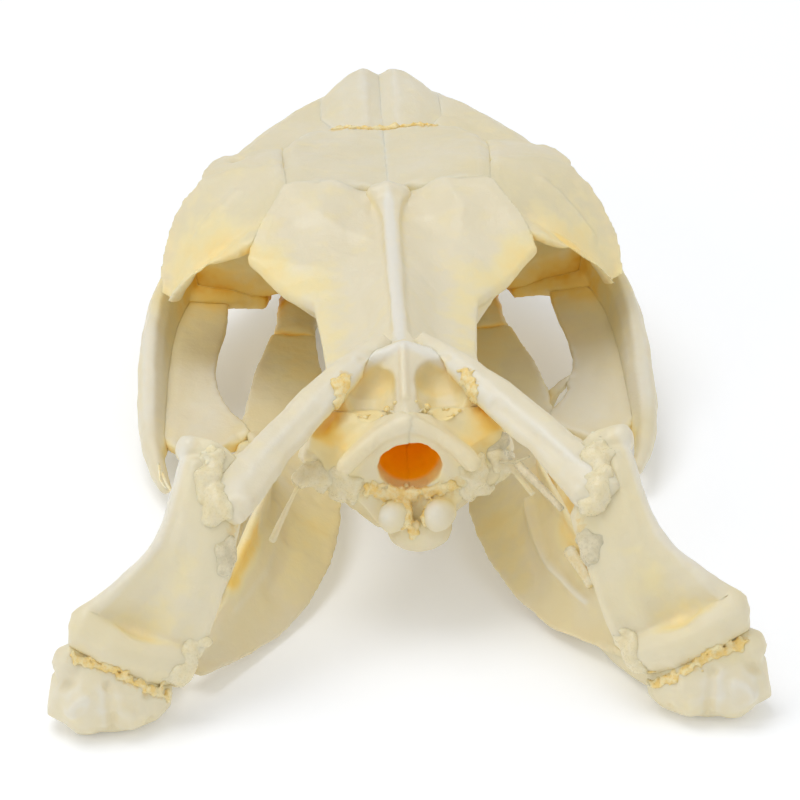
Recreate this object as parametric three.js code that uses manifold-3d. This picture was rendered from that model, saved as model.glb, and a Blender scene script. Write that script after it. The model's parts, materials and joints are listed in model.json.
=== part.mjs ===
// Skull of an adult python with its lower jaws in place, life size, in millimetres, +Z up.
// +Y runs forward to the snout and +X to the animal's right. The jaws lie on the floor at z = 0,
// and the cranium stands over them on its two quadrate bones.
// Cranium bones are drawn in the cranium's own frame: origin at the rear of the occipital condyle,
// Y along the skull, Z up. Jaw bones are drawn on the floor, with Y measured from the same place.
// Each paired bone is drawn once, for the right side, and mirrored for the left one.

import * as THREE from 'three';
import { mergeVertices } from 'three/addons/utils/BufferGeometryUtils.js';
import Module from 'manifold-3d';

const wasm = await Module();
wasm.setup();

// Main sizes
const GAP = 0.3; // clear width of every suture and joint
const CONDYLE_HEIGHT = 14.1; // from the floor to the cranium's origin
const CRANIUM_SHIFT = 0.8; // the cranium stands this far to the right of the jaw joints' middle
const LEAN_LEFT = THREE.MathUtils.degToRad(1.1); // the cranium leans to the animal's left
const SNOUT = 96; // from the condyle to the premaxilla's front
const NASAL_SUTURE = 73; // where the nasals meet the frontals
const CROWN_SUTURE = 53; // where the frontals meet the parietal
const OCCIPUT_FRONT = 13; // where the parietal meets the bones of the occiput
const PALATE_JOINT = 58; // where the palatine meets the pterygoid
const JAW_SPLIT = 40; // where the dentary takes over from the compound bone
const CONDYLE_SIDEWAYS = 1; // the condyle stands this far to the animal's right of the foramen's middle
const MIDLINE_GAP = GAP / 2; // paired bones keep this far from the middle plane
const TOOTH_ROOT = 0.9; // how deep a tooth is sunk in its bone
const FACET_TOLERANCE = 0.02; // corners that stand out less than this are flattened
const SAME_POINT = 1e-5; // points nearer than this are one point

const IVORY = 0xe8dfca;
const PALE = 0xeeebe2;
const CREAM = 0xe2d3ac;

// Small helpers
const vec = (x, y, z) => new THREE.Vector3(x, y, z);

function seeded(seed) {
  let state = seed;
  return () => {
    state = (state * 16807) % 2147483647;
    return state / 2147483647;
  };
}

function closedGeometry(points, faces) {
  const geometry = new THREE.BufferGeometry();
  geometry.setAttribute('position', new THREE.Float32BufferAttribute(points.flatMap((p) => p.toArray()), 3));
  geometry.setIndex(faces.flat());
  return geometry;
}

// Joins rings of equal length into a closed skin, with a middle point on each end.
function skin(rings, startPoint, endPoint) {
  const sides = rings[0].length;
  const points = rings.flat();
  const faces = [];
  for (let r = 0; r < rings.length - 1; r += 1) {
    for (let s = 0; s < sides; s += 1) {
      const a = r * sides + s;
      const b = r * sides + ((s + 1) % sides);
      faces.push([a, b, b + sides], [a, b + sides, a + sides]);
    }
  }
  const first = points.length;
  const last = first + 1;
  points.push(startPoint, endPoint);
  const top = (rings.length - 1) * sides;
  for (let s = 0; s < sides; s += 1) {
    const next = (s + 1) % sides;
    faces.push([first, next, s], [last, top + s, top + next]);
  }
  return closedGeometry(points, faces);
}

// One place along a rod: its middle, half its width and half its thickness.
const place = (x, y, z, wide, thick) => ({ at: vec(x, y, z), size: vec(wide, thick, 0) });

function alongRod(places, t) {
  const path = new THREE.CatmullRomCurve3(places.map((p) => p.at));
  const sizes = new THREE.CatmullRomCurve3(places.map((p) => p.size));
  const size = sizes.getPoint(t);
  return { at: path.getPoint(t), tangent: path.getTangent(t), wide: size.x, thick: size.y };
}

// A rounded bar through its places. across points along its wide side, at the start and at the end.
function rod(places, grow = 0, { rings = 9, sides = 10, across = [vec(1, 0, 0), vec(1, 0, 0)] } = {}) {
  const skinRings = [];
  let startPoint;
  let endPoint;
  for (let r = 0; r <= rings; r += 1) {
    const t = r / rings;
    const here = alongRod(places, t);
    const wideAxis = across[0].clone().lerp(across[1], t);
    wideAxis.addScaledVector(here.tangent, -wideAxis.dot(here.tangent)).normalize();
    const thickAxis = here.tangent.clone().cross(wideAxis).normalize();
    const ring = [];
    for (let s = 0; s < sides; s += 1) {
      const angle = (2 * Math.PI * s) / sides;
      ring.push(here.at.clone()
        .addScaledVector(wideAxis, Math.cos(angle) * (here.wide + grow))
        .addScaledVector(thickAxis, Math.sin(angle) * (here.thick + grow)));
    }
    skinRings.push(ring);
    const cap = 0.45 * Math.min(here.wide, here.thick) + grow;
    if (r === 0) startPoint = here.at.clone().addScaledVector(here.tangent, -cap);
    if (r === rings) endPoint = here.at.clone().addScaledVector(here.tangent, cap);
  }
  return skin(skinRings, startPoint, endPoint);
}

// A curved plate between two rails. sag bends its middle away from a flat sheet, along its face.
function sheet(railA, railB, grow = 0, { thick = 1.2, sag = 0, rows = 8, columns = 4, rim = 0.6 } = {}) {
  const curveA = new THREE.CatmullRomCurve3(railA.map((p) => vec(...p)));
  const curveB = new THREE.CatmullRomCurve3(railB.map((p) => vec(...p)));
  const rings = [];
  let startPoint;
  let endPoint;
  for (let r = 0; r <= rows; r += 1) {
    const t = r / rows;
    const a = curveA.getPoint(t);
    const b = curveB.getPoint(t);
    const tangent = curveA.getTangent(t).add(curveB.getTangent(t)).normalize();
    const side = b.clone().sub(a).normalize();
    const face = side.clone().cross(tangent).normalize();
    const upper = [];
    const lower = [];
    const bend = Array.isArray(sag) ? THREE.MathUtils.lerp(sag[0], sag[1], t) : sag;
    for (let c = 0; c <= columns; c += 1) {
      const s = c / columns;
      const bulge = Math.sin(Math.PI * s);
      const half = (thick / 2) * (rim + (1 - rim) * bulge) + grow;
      const edge = (2 * s - 1) * grow;
      const middle = a.clone().lerp(b, s).addScaledVector(face, bend * bulge).addScaledVector(side, edge);
      upper.push(middle.clone().addScaledVector(face, half));
      lower.push(middle.clone().addScaledVector(face, -half));
    }
    const push = r === 0 ? -grow : r === rows ? grow : 0;
    const ring = [...upper, ...lower.reverse()].map((p) => p.addScaledVector(tangent, push));
    rings.push(ring);
    const end = a.clone().lerp(b, 0.5).addScaledVector(face, bend).addScaledVector(tangent, push);
    if (r === 0) startPoint = end;
    if (r === rows) endPoint = end;
  }
  return skin(rings, startPoint, endPoint);
}

// Moves each corner of a closed outline outwards, square to the two edges that meet there.
function offsetOutline(ring, grow) {
  const corners = ring.map(([x, z]) => new THREE.Vector2(x, z));
  const turning = Math.sign(THREE.ShapeUtils.area(corners));
  const outward = (from, to) => (
    new THREE.Vector2(to.y - from.y, from.x - to.x).normalize().multiplyScalar(turning));
  return corners.map((corner, i) => {
    const before = outward(corners.at(i - 1), corner);
    const after = outward(corner, corners[(i + 1) % corners.length]);
    const between = before.clone().add(after).normalize();
    return corner.clone().addScaledVector(between, grow / Math.max(0.5, between.dot(after)));
  });
}

// A block drawn as cross-sections: each is a y and a ring of [x, z] points.
function block(sections, grow = 0) {
  const rings = sections.map(({ y, ring }, index) => {
    const push = index === 0 ? -grow : index === sections.length - 1 ? grow : 0;
    return offsetOutline(ring, grow).map((corner) => vec(corner.x, y + push, corner.y));
  });
  const middle = (ring) => ring.reduce((sum, p) => sum.addScaledVector(p, 1 / ring.length), vec(0, 0, 0));
  return skin(rings, middle(rings[0]), middle(rings[rings.length - 1]));
}

function ball(x, y, z, rx, ry, rz, grow = 0, detail = 10) {
  const geometry = new THREE.SphereGeometry(1, detail, Math.round(detail * 0.7));
  geometry.scale(rx + grow, ry + grow, rz + grow);
  geometry.translate(x, y, z);
  return geometry;
}

function box(x0, x1, y0, y1, z0, z1) {
  const geometry = new THREE.BoxGeometry(x1 - x0, y1 - y0, z1 - z0);
  geometry.translate((x0 + x1) / 2, (y0 + y1) / 2, (z0 + z1) / 2);
  return geometry;
}

// A pointed tooth that curves back from its base. Its root is sunk in the bone.
function tooth(base, pointing, length, radius, back, grow = 0) {
  const sides = 4;
  const rings = [[-TOOTH_ROOT, 1], [0.1 * length, 1], [0.55 * length, 0.62]].map(([height, share]) => {
    const curve = back * Math.max(0, height / length) ** 2;
    const reach = radius * share + 1.4 * grow;
    const ring = [];
    for (let s = 0; s < sides; s += 1) {
      const angle = (2 * Math.PI * s) / sides;
      ring.push(base.clone()
        .addScaledVector(pointing, height)
        .add(vec(Math.cos(angle) * reach, -curve + Math.sin(angle) * reach * 1.15, 0)));
    }
    return ring;
  });
  const tip = base.clone().addScaledVector(pointing, length + 2 * grow).add(vec(0, -back, 0));
  return skin(rings, base.clone().addScaledVector(pointing, -TOOTH_ROOT), tip);
}

// Teeth in a row on a rod's edge. They are longest at longestAt and differ a little, as real ones do.
function toothRow(places, grow, row) {
  const { count, from, to, longest, shortest, longestAt, pointing, seed, missing = [] } = row;
  const random = seeded(seed);
  const teeth = [];
  for (let n = 0; n < count; n += 1) {
    const t = THREE.MathUtils.lerp(from, to, n / (count - 1));
    const here = alongRod(places, t);
    const nearLongest = 1 - Math.min(1, Math.abs(t - longestAt) / 0.7);
    const length = THREE.MathUtils.lerp(shortest, longest, nearLongest) * (0.88 + 0.24 * random());
    const edge = here.at.clone().addScaledVector(pointing, here.thick * 0.92);
    const radius = 0.34 + 0.055 * length;
    if (!missing.includes(n)) teeth.push(tooth(edge, pointing, length, radius, 0.38 * length, grow));
  }
  return teeth;
}

// Solids. A frame that mirrors a bone turns its faces inside out, so they are turned back.
function enclosedVolume(position, index) {
  const corner = (i) => vec(0, 0, 0).fromBufferAttribute(position, index[i]);
  let volume = 0;
  for (let i = 0; i < index.length; i += 3) volume += corner(i).dot(corner(i + 1).cross(corner(i + 2))) / 6;
  return volume;
}

function solidOf(geometry, frame) {
  const bare = geometry.clone();
  bare.deleteAttribute('normal');
  bare.deleteAttribute('uv');
  bare.applyMatrix4(frame);
  const merged = mergeVertices(bare, SAME_POINT);
  const triangles = new Uint32Array(merged.index.array);
  if (enclosedVolume(merged.attributes.position, triangles) < 0) {
    for (let i = 0; i < triangles.length; i += 3) {
      [triangles[i], triangles[i + 1]] = [triangles[i + 1], triangles[i]];
    }
  }
  return new wasm.Manifold(new wasm.Mesh({
    numProp: 3,
    vertProperties: new Float32Array(merged.attributes.position.array),
    triVerts: triangles,
  }));
}

function joined(geometries, frame) {
  return geometries.map((geometry) => solidOf(geometry, frame)).reduce((sum, piece) => sum.add(piece));
}

function largest(solid) {
  return solid.decompose().reduce((best, piece) => (piece.volume() > best.volume() ? piece : best));
}

function boxesMeet(a, b) {
  return [0, 1, 2].every((axis) => a.min[axis] < b.max[axis] && b.min[axis] < a.max[axis]);
}

const skull = new THREE.Group();
const CRANIUM = new THREE.Matrix4()
  .makeTranslation(CRANIUM_SHIFT, 0, CONDYLE_HEIGHT)
  .multiply(new THREE.Matrix4().makeRotationY(-LEAN_LEFT));
const FLOOR = new THREE.Matrix4();
const BELOW_FLOOR = solidOf(box(-60, 60, -60, 140, -30, 0), FLOOR);
const finished = [];

function addMesh(name, colour, solid) {
  const { vertProperties, triVerts } = solid.getMesh();
  const geometry = new THREE.BufferGeometry();
  geometry.setAttribute('position', new THREE.BufferAttribute(new Float32Array(vertProperties), 3));
  geometry.setIndex(new THREE.BufferAttribute(new Uint32Array(triVerts), 1));
  geometry.computeVertexNormals();
  const material = new THREE.MeshStandardMaterial({ color: colour, roughness: 0.5, metalness: 0 });
  const mesh = new THREE.Mesh(geometry, material);
  mesh.name = name;
  skull.add(mesh);
}

// Adds a bone, cut back by the bones that are already there, each grown by the gap.
function addBone(name, colour, frame, side, parts, cuts = () => []) {
  const sideFrame = frame.clone().multiply(new THREE.Matrix4().makeScale(side, 1, 1));
  let solid = joined(parts(0, side), sideFrame).subtract(BELOW_FLOOR);
  for (const cut of cuts(side)) solid = solid.subtract(solidOf(cut, sideFrame));
  const bounds = solid.boundingBox();
  for (const other of finished) {
    if (boxesMeet(bounds, other.bounds)) solid = solid.subtract(other.grown);
  }
  addMesh(name, colour, largest(solid.simplify(FACET_TOLERANCE)));
  const grown = joined(parts(GAP, side), sideFrame);
  finished.push({ grown, bounds: grown.boundingBox() });
}

function addPair(name, colour, frame, parts, cuts) {
  addBone(`${name}_right`, colour, frame, 1, parts, cuts);
  addBone(`${name}_left`, colour, frame, -1, parts, cuts);
}

// Occiput: modelled whole round the foramen magnum, then parted into its bones
function halfRing(y, ring) {
  const otherSide = ring.slice(1, -1).map(([x, z]) => [-x, z]).reverse();
  return { y, ring: [...ring, ...otherSide] };
}

function occiput(grow) {
  const shape = block([
    halfRing(0.4, [[0, 0.2], [3.4, -0.6], [5.6, 2.4], [7.2, 6], [6.4, 8.6], [3.2, 10.6], [0, 12.2]]),
    halfRing(3.5, [[0, -3.2], [3.6, -2.6], [6.6, 0.2], [11.2, 5.6], [10.6, 9.2], [5.0, 11.6], [0, 13.2]]),
    halfRing(7.0, [[0, -3.9], [4.4, -3.3], [7.8, 0.0], [12.0, 4.8], [10.8, 9.8], [5.4, 13.2], [0, 15.0]]),
    halfRing(10.5, [[0, -3.6], [5.2, -3.4], [9.0, -0.2], [10.6, 4.4], [9.6, 9.6], [4.2, 14.4], [0, 16.9]]),
    halfRing(OCCIPUT_FRONT - GAP, [
      [0, -3.4], [5.0, -3.2], [7.6, 0.6], [8.8, 5.2], [8.6, 9.6], [4.0, 13.4], [0, 16.2],
    ]),
  ], grow);
  const wings = [1, -1].map((side) => sheet(
    [[0, 5.5, 12.6], [side * 3.6, 3.4, 11], [side * 7.2, 1.2, 8.4]],
    [[0, 1.2, 11.2], [side * 3.6, 0.2, 9.6], [side * 7.0, -1.4, 7.2]],
    grow, { thick: 1.8, rows: 3, columns: 2 },
  ));
  const condyles = [1, -1].map((side) => (
    ball(side * 2.45 + CONDYLE_SIDEWAYS, -0.3, 1.2, 1.75, 1.8, 1.8, grow)));
  const knob = ball(CONDYLE_SIDEWAYS, 2.0, -1.8, 3.8, 3.3, 2.8, grow, 12);
  const ridges = [1, -1].map((side) => rod([
    place(0, 10.6, 16.2, 0.8, 0.8), place(side * 3.4, 9.8, 14.9, 0.8, 0.8),
    place(side * 6.6, 8.0, 12.6, 0.8, 0.8),
  ], grow, { rings: 3, sides: 6 }));
  return [shape, ...wings, ...condyles, knob, ...ridges];
}

function occiputHollows() {
  const foramen = ball(0.1, 1.5, 6.7, 3.6, 9, 3.0, 0, 12);
  const roofHollows = [1, -1].map((side) => ball(side * 4.3, 5.2, 14.9, 3.7, 4.2, 3.9));
  const ears = [1, -1].map((side) => ball(side * 11.6, 2.2, 6.2, 2.2, 2.6, 1.7));
  return [foramen, ...roofHollows, ...ears];
}

// A prism along X over an outline of [y, z] points.
function prism(outline, x0, x1) {
  const shape = new THREE.Shape(outline.map(([y, z]) => new THREE.Vector2(y, z)));
  const geometry = new THREE.ExtrudeGeometry(shape, { depth: x1 - x0, bevelEnabled: false });
  geometry.applyMatrix4(new THREE.Matrix4().set(0, 0, 1, x0, 1, 0, 0, 0, 0, 1, 0, 0, 0, 0, 0, 1));
  return geometry;
}

function addOcciput() {
  const uncut = joined(occiput(0), CRANIUM);
  const whole = occiputHollows().reduce((sum, cut) => sum.subtract(solidOf(cut, CRANIUM)), uncut);
  const part = (name, colour, outline, x0, x1) => {
    const share = whole.intersect(solidOf(prism(outline, x0, x1), CRANIUM));
    addMesh(name, colour, largest(share.simplify(FACET_TOLERANCE)));
  };
  const roof = [[2.2, 12.5], [9, 9.8], [14, 9.8], [14, 20], [2.2, 20]];
  const rear = [[-5, 0.1], [8.5, 0.1], [8.5, 9.7], [2.2 - GAP, 12.2], [-5, 12.2]];
  const walls = [[8.5 + GAP, 0.1], [14, 0.1], [14, 9.8 - GAP], [8.5 + GAP, 9.8 - GAP]];
  const floorPart = [[-5, 0.1 - GAP], [14, 0.1 - GAP], [14, -8], [-5, -8]];
  part('supraoccipital', PALE, roof, -20, 20);
  part('exoccipital_right', CREAM, rear, MIDLINE_GAP, 20);
  part('exoccipital_left', CREAM, rear, -20, -MIDLINE_GAP);
  part('prootic_right', CREAM, walls, MIDLINE_GAP, 20);
  part('prootic_left', CREAM, walls, -20, -MIDLINE_GAP);
  part('basioccipital', CREAM, floorPart, -20, 20);
  const grown = joined(occiput(GAP), CRANIUM);
  finished.push({ grown, bounds: grown.boundingBox() });
}

// Braincase. Right half of the parietal's section: floor, side wall, the wing's edge, roof and crest.
function parietalSection(y, crest, crestHalf, roof, edge, wall, floorX) {
  const floorZ = -1.2;
  const wingThickness = 1.1;
  return halfRing(y, [
    [0, floorZ], [floorX, floorZ], wall, [edge[0] - 1.2, edge[1] - wingThickness - 0.8],
    [edge[0], edge[1] - wingThickness], edge, roof,
    [crestHalf + 0.5, crest - 1.2], [crestHalf, crest], [0, crest],
  ]);
}

function parietal(grow) {
  return [block([
    parietalSection(OCCIPUT_FRONT, 15.4, 1.6, [4.2, 12.2], [8.6, 9.4], [7.4, 2.5], 4.8),
    parietalSection(17, 14.9, 0.8, [4.0, 11.6], [8.4, 9.0], [7.2, 2.5], 4.6),
    parietalSection(26, 14.4, 0.6, [3.9, 11.3], [8.8, 8.9], [7.2, 2.6], 4.0),
    parietalSection(34, 14.2, 0.7, [4.6, 11.5], [9.4, 9.6], [7.2, 3], 3.6),
    parietalSection(38, 14.2, 0.8, [6.2, 11.9], [13, 9.7], [7.2, 4], 3.4),
    parietalSection(43, 14.3, 0.9, [7.6, 12.8], [16.9, 11.5], [7.2, 5], 3.2),
    parietalSection(48, 14.6, 1.2, [8.6, 14.9], [14.9, 14.2], [6.8, 6], 3),
    parietalSection(CROWN_SUTURE, 15, 1.6, [6.5, 15.8], [11.9, 15.9], [6.2, 6.5], 3),
  ], grow)];
}

function basisphenoid(grow) {
  return [rod([
    place(0, OCCIPUT_FRONT - 3, -1.6, 5.4, 1.9),
    place(0, 20, -2.6, 5.0, 1.9),
    place(0, 30, -2.8, 3.7, 1.8),
    place(0, 42, -2.9, 2.7, 1.7),
    place(0, 56, -2.9, 2.0, 1.6),
    place(0, 72, -2.8, 1.1, 1.3),
  ], grow, { rings: 10, sides: 8 })];
}

// Roof of the snout and orbits
function frontal(grow) {
  const section = (y, top, rimTop, rimX, wallX) => ({
    y,
    ring: [
      [MIDLINE_GAP, -0.8], [wallX - 1.2, -0.4], [wallX, 5], [wallX + 0.8, 10.5], [rimX, rimTop - 2.2],
      [rimX, rimTop - 0.5], [rimX - 1, rimTop], [4, top + 0.5], [MIDLINE_GAP, top],
    ],
  });
  return [block([
    section(CROWN_SUTURE + GAP, 15, 16, 11.9, 5.8),
    section(58, 14.6, 15.9, 12.2, 5.4),
    section(64, 14.0, 15.0, 12.3, 5.2),
    section(69, 13.5, 14.0, 11.6, 5.2),
    section(NASAL_SUTURE, 13.1, 13.3, 9.8, 5.4),
  ], grow)];
}

function nasal(grow) {
  const section = (y, top, bump, outX, outZ, keel) => ({
    y,
    ring: [
      [MIDLINE_GAP, keel], [1.4, keel], [1.8, outZ - 2.0], [outX - 0.6, outZ - 1.3], [outX, outZ],
      [outX * 0.62, outZ + (bump - outZ) * 0.75], [Math.min(1.9, outX * 0.4), bump], [MIDLINE_GAP, top],
    ],
  });
  return [block([
    section(NASAL_SUTURE + GAP, 12.9, 13.2, 5.2, 12.6, 5),
    section(78, 13.0, 13.7, 7.4, 12.4, 5),
    section(84, 13.2, 14.3, 7.2, 12.4, 5),
    section(88.5, 13.2, 14.3, 5.6, 12.0, 5.5),
    section(91.5, 12.0, 12.9, 3.4, 11.0, 6.5),
    section(93.6, 9.6, 10.2, 2.0, 8.9, 7.4),
  ], grow)];
}

function prefrontal(grow) {
  const section = (y, inX, topX, topZ, outX, lowZ, floorZ) => ({
    y,
    ring: [
      [inX + 2, floorZ], [outX - 4, floorZ], [outX - 0.5, lowZ], [outX, lowZ + 3],
      [(outX + topX) / 2 + 0.6, topZ - 4.5], [topX, topZ - 0.8], [topX - 1.6, topZ], [inX, topZ + 0.3],
    ],
  });
  return [block([
    section(64.5, 11.5, 21.0, 12.4, 26.0, 0, -4.8),
    section(68, 9.5, 19.4, 12.4, 25.2, 0, -5),
    section(73, 5.6, 17.0, 12.3, 22.6, 0.2, -4),
    section(78, 6.8, 14.2, 12.2, 19.2, 0.6, -1.5),
    section(83, 6.8, 11.0, 12.2, 15.8, 1.2, 0.2),
    section(87, 6.2, 8.6, 11.4, 12.6, 1.8, 1.2),
  ], grow)];
}

const orbitScoop = () => [ball(17.6, 60.2, 4.4, 7.6, 7.2, 7.4, 0, 14)];

function supraorbital(grow) {
  return [sheet(
    [[19.4, 67.6, 12.6], [21.4, 64, 13.0], [22.6, 60, 12.7]],
    [[12.7, 67.0, 13.6], [12.7, 61, 15.2], [12.6, 55.5, 15.6]],
    grow, { thick: 1.5, sag: 0, rows: 3, columns: 2 },
  )];
}

function postorbital(grow) {
  return [sheet(
    [
      [12.4, 57.5, 15.9], [17.5, 60, 14.9], [22.3, 60.2, 12.8],
      [25.4, 57.4, 9.6], [27.2, 53.6, 6], [27.5, 50.8, 3.2],
    ],
    [
      [12.2, 50.0, 15.2], [15.6, 45.6, 12.8], [18.2, 44.6, 11.0],
      [21.2, 46.8, 8.8], [24.2, 48.4, 5.8], [26.4, 49.2, 2.8],
    ],
    grow, { thick: 1.6, sag: [-0.7, -1.7], rows: 8, columns: 4, rim: 0.6 },
  )];
}

// Palate and upper jaw
const MAXILLA = [
  place(27.4, 28.6, -11.0, 0.7, 0.8),
  place(28.6, 33, -10.2, 1.2, 1.7),
  place(29.1, 38.5, -8.9, 1.6, 2.3),
  place(29.0, 44, -7.9, 1.8, 2.9),
  place(28.7, 50, -6.1, 1.8, 3.7),
  place(27.9, 56, -4.4, 1.7, 4.3),
  place(26.3, 62, -3.2, 1.7, 4.7),
  place(24.1, 68, -2.5, 1.7, 4.8),
  place(20.8, 75, -2.0, 1.7, 4.6),
  place(16.4, 82, -1.6, 1.6, 4.0),
  place(11.4, 88, -1.2, 1.5, 3.1),
  place(6.6, 92.6, -0.9, 1.2, 2.0),
];
const DOWN = vec(0, 0, -1);

function maxilla(grow, side) {
  const shaft = rod(MAXILLA, grow, { rings: 15, sides: 10, across: [vec(1, 0, 0), vec(0.5, 1, 0)] });
  const shelf = sheet(
    [[24.6, 62, -3.8], [22.4, 68, -3.4], [18.8, 74, -3]],
    [[15.2, 64.5, -6.2], [13.8, 69, -5.6], [12.6, 73, -5.2]],
    grow, { thick: 1.6, rows: 3, columns: 2 },
  );
  const teeth = toothRow(MAXILLA, grow, {
    count: 16, from: 0.17, to: 0.985, longest: 6.2, shortest: 2.2, longestAt: 0.95,
    pointing: DOWN, seed: 11 + side, missing: side > 0 ? [6, 12] : [3, 9],
  });
  return [shaft, shelf, ...teeth];
}

const ECTOPTERYGOID_OUTER_EDGE = [
  [26.6, 67, -2.6], [28.2, 58, -3.8], [28.8, 48, -5.8], [28.4, 39, -8.4], [24.8, 31.6, -9.4],
];
const ECTOPTERYGOID_INNER_EDGE = [
  [19.4, 66.5, -5.4], [20.2, 57, -6.0], [21.4, 49, -6.9], [20.4, 43, -8.0], [17.4, 37, -8.9],
];

function ectopterygoid(grow) {
  return [sheet(ECTOPTERYGOID_OUTER_EDGE, ECTOPTERYGOID_INNER_EDGE, grow, {
    thick: 1.6, sag: -0.5, rows: 8, columns: 3,
  })];
}

const PTERYGOID_OUTER_EDGE = [
  [14.6, PALATE_JOINT, -7.2], [16.2, 52, -7.4], [17.5, 46, -8.0], [18.2, 40, -8.9], [16.6, 31, -7.6],
  [15.6, 20, -5.2], [16.4, 8, -4.4], [20.2, -3, -6.2], [24.4, -11, -9.0],
];
const PTERYGOID_INNER_EDGE = [
  [9.2, PALATE_JOINT, -7.7], [8.8, 51, -8.0], [8.3, 44, -8.3], [7.9, 36, -8.6], [7.3, 27, -9.0],
  [7.5, 18, -10.0], [9.4, 9.4, -11.6], [15.2, -1.5, -13.2], [23.2, -11.6, -11.4],
];

function pterygoid(grow, side) {
  const blade = sheet(PTERYGOID_INNER_EDGE, PTERYGOID_OUTER_EDGE, grow, {
    thick: 1.7, sag: [0.3, 1.2], rows: 16, columns: 4,
  });
  const toothRidge = [
    place(12.2, 57.4, -8.2, 0.8, 0.8), place(11.6, 48, -8.7, 0.8, 0.8),
    place(10.6, 38, -9.0, 0.7, 0.8), place(9.6, 29, -9.2, 0.6, 0.6),
  ];
  const teeth = toothRow(toothRidge, grow, {
    count: 8, from: 0.04, to: 0.96, longest: 1.6, shortest: 1.1, longestAt: 0,
    pointing: DOWN, seed: 23 + side, missing: side > 0 ? [3] : [5],
  });
  const fin = sheet(
    [[15.4, 22, -5.6], [15.9, 12, -5.4], [18.2, 3, -6.2], [21.4, -5, -8.2]],
    [[15.2, 19.5, -3.2], [15.0, 11.5, 0.2], [17.4, 4.5, -2.0], [20.6, -3.4, -5.8]],
    grow, { thick: 1.1, sag: 0.3, rows: 6, columns: 2 },
  );
  return [blade, rod(toothRidge, grow, { rings: 6, sides: 6 }), fin, ...teeth];
}

function palatine(grow, side) {
  const shaft = [
    place(11.8, PALATE_JOINT + GAP + 0.6, -7.4, 2.7, 1.0), place(11.2, 65, -7.0, 2.7, 1.1),
    place(10.2, 72, -6.4, 2.0, 1.1), place(8.6, 79, -5.6, 1.4, 1.0), place(7.0, 86, -4.8, 0.9, 0.8),
  ];
  const choanal = sheet(
    [[10.6, 63, -6.8], [9.8, 68, -6.4], [8.8, 73, -5.8]],
    [[4.6, 64.5, -3.4], [4.0, 69, -2.8], [4.2, 73, -2.8]],
    grow, { thick: 1.2, sag: 0.6, rows: 3, columns: 2 },
  );
  const teeth = toothRow(shaft, grow, {
    count: 6, from: 0.06, to: 0.95, longest: 2.6, shortest: 1.4, longestAt: 1,
    pointing: DOWN, seed: 37 + side, missing: side > 0 ? [1] : [4],
  });
  return [rod(shaft, grow, { rings: 7, sides: 8 }), choanal, ...teeth];
}

function vomer(grow) {
  return [rod([
    place(1.9, 70, -2.6, 1.4, 1.2), place(2.2, 77, -2.4, 1.6, 1.6),
    place(2.4, 84, -1.8, 1.7, 1.8), place(1.6, 90, -1.2, 1.2, 1.2),
  ], grow, { rings: 6, sides: 8 })];
}

function septomaxilla(grow) {
  return [block([
    { y: 76, ring: [[0.5, 0.2], [3.6, 0.2], [4.4, 2.6], [2.4, 4.4], [0.5, 4.7]] },
    { y: 82, ring: [[0.4, 0.0], [4.8, 0.4], [6.2, 3.2], [3.2, 4.8], [0.4, 4.7]] },
    { y: 88, ring: [[0.4, 0.2], [4.4, 0.8], [5.4, 3.0], [2.8, 5.2], [0.4, 5.2]] },
    { y: 92, ring: [[0.4, 1.2], [2.6, 1.4], [3.0, 3.0], [1.8, 5.0], [0.4, 5.2]] },
  ], grow)];
}

function premaxilla(grow) {
  const bar = [
    place(-5.6, 92.6, -0.6, 1.3, 1.2), place(-3, 94.2, -0.6, 1.7, 1.5),
    place(0, SNOUT - 1.4, -0.5, 1.9, 1.6),
    place(3, 94.2, -0.6, 1.7, 1.5), place(5.6, 92.6, -0.6, 1.3, 1.2),
  ];
  const rising = [place(0, 94.2, 0, 1.7, 1.2), place(0, 94.4, 4, 1.3, 1.1), place(0, 94.6, 8.6, 0.8, 0.8)];
  const across = [vec(0, 1, 0), vec(0, 1, 0)];
  const teeth = [-3.9, -1.4, 1.4, 3.9].map((x) => (
    tooth(vec(x, 94.6 - Math.abs(x) * 0.3, -1.7), DOWN, 3.2, 0.5, 1.0, grow)));
  return [
    rod(bar, grow, { rings: 6, sides: 8, across }),
    rod(rising, grow, { rings: 4, sides: 8 }),
    ...teeth,
  ];
}

// Jaw suspension
function supratemporal(grow) {
  return [rod([
    place(1.9, 13.0, 15.7, 1.1, 1.0), place(6.4, 8.2, 14.4, 1.8, 1.4), place(11.2, 2.8, 12.2, 2.3, 1.5),
    place(15.6, -3.2, 10.4, 2.5, 1.5), place(19.0, -8.4, 9.0, 2.8, 1.4), place(20.2, -10.6, 8.3, 2.4, 1.1),
  ], grow, { rings: 9, sides: 8, across: [vec(0.7, 0.6, 0.2), vec(0.8, 0.3, 0.5)] })];
}

const QUADRATE_OUTER_EDGE = [
  [23.2, -2.6, 26.6], [24.8, -8.4, 22.9], [26.7, -12.1, 19.4], [31.1, -15.4, 16.0], [35.2, -16.1, 13.2],
];
const QUADRATE_INNER_EDGE = [
  [18.6, -3.6, 24.4], [18.2, -9.3, 20.2], [19.5, -12.7, 16.2], [20.8, -14.3, 12.4], [22.6, -15.5, 8.0],
];

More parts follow.
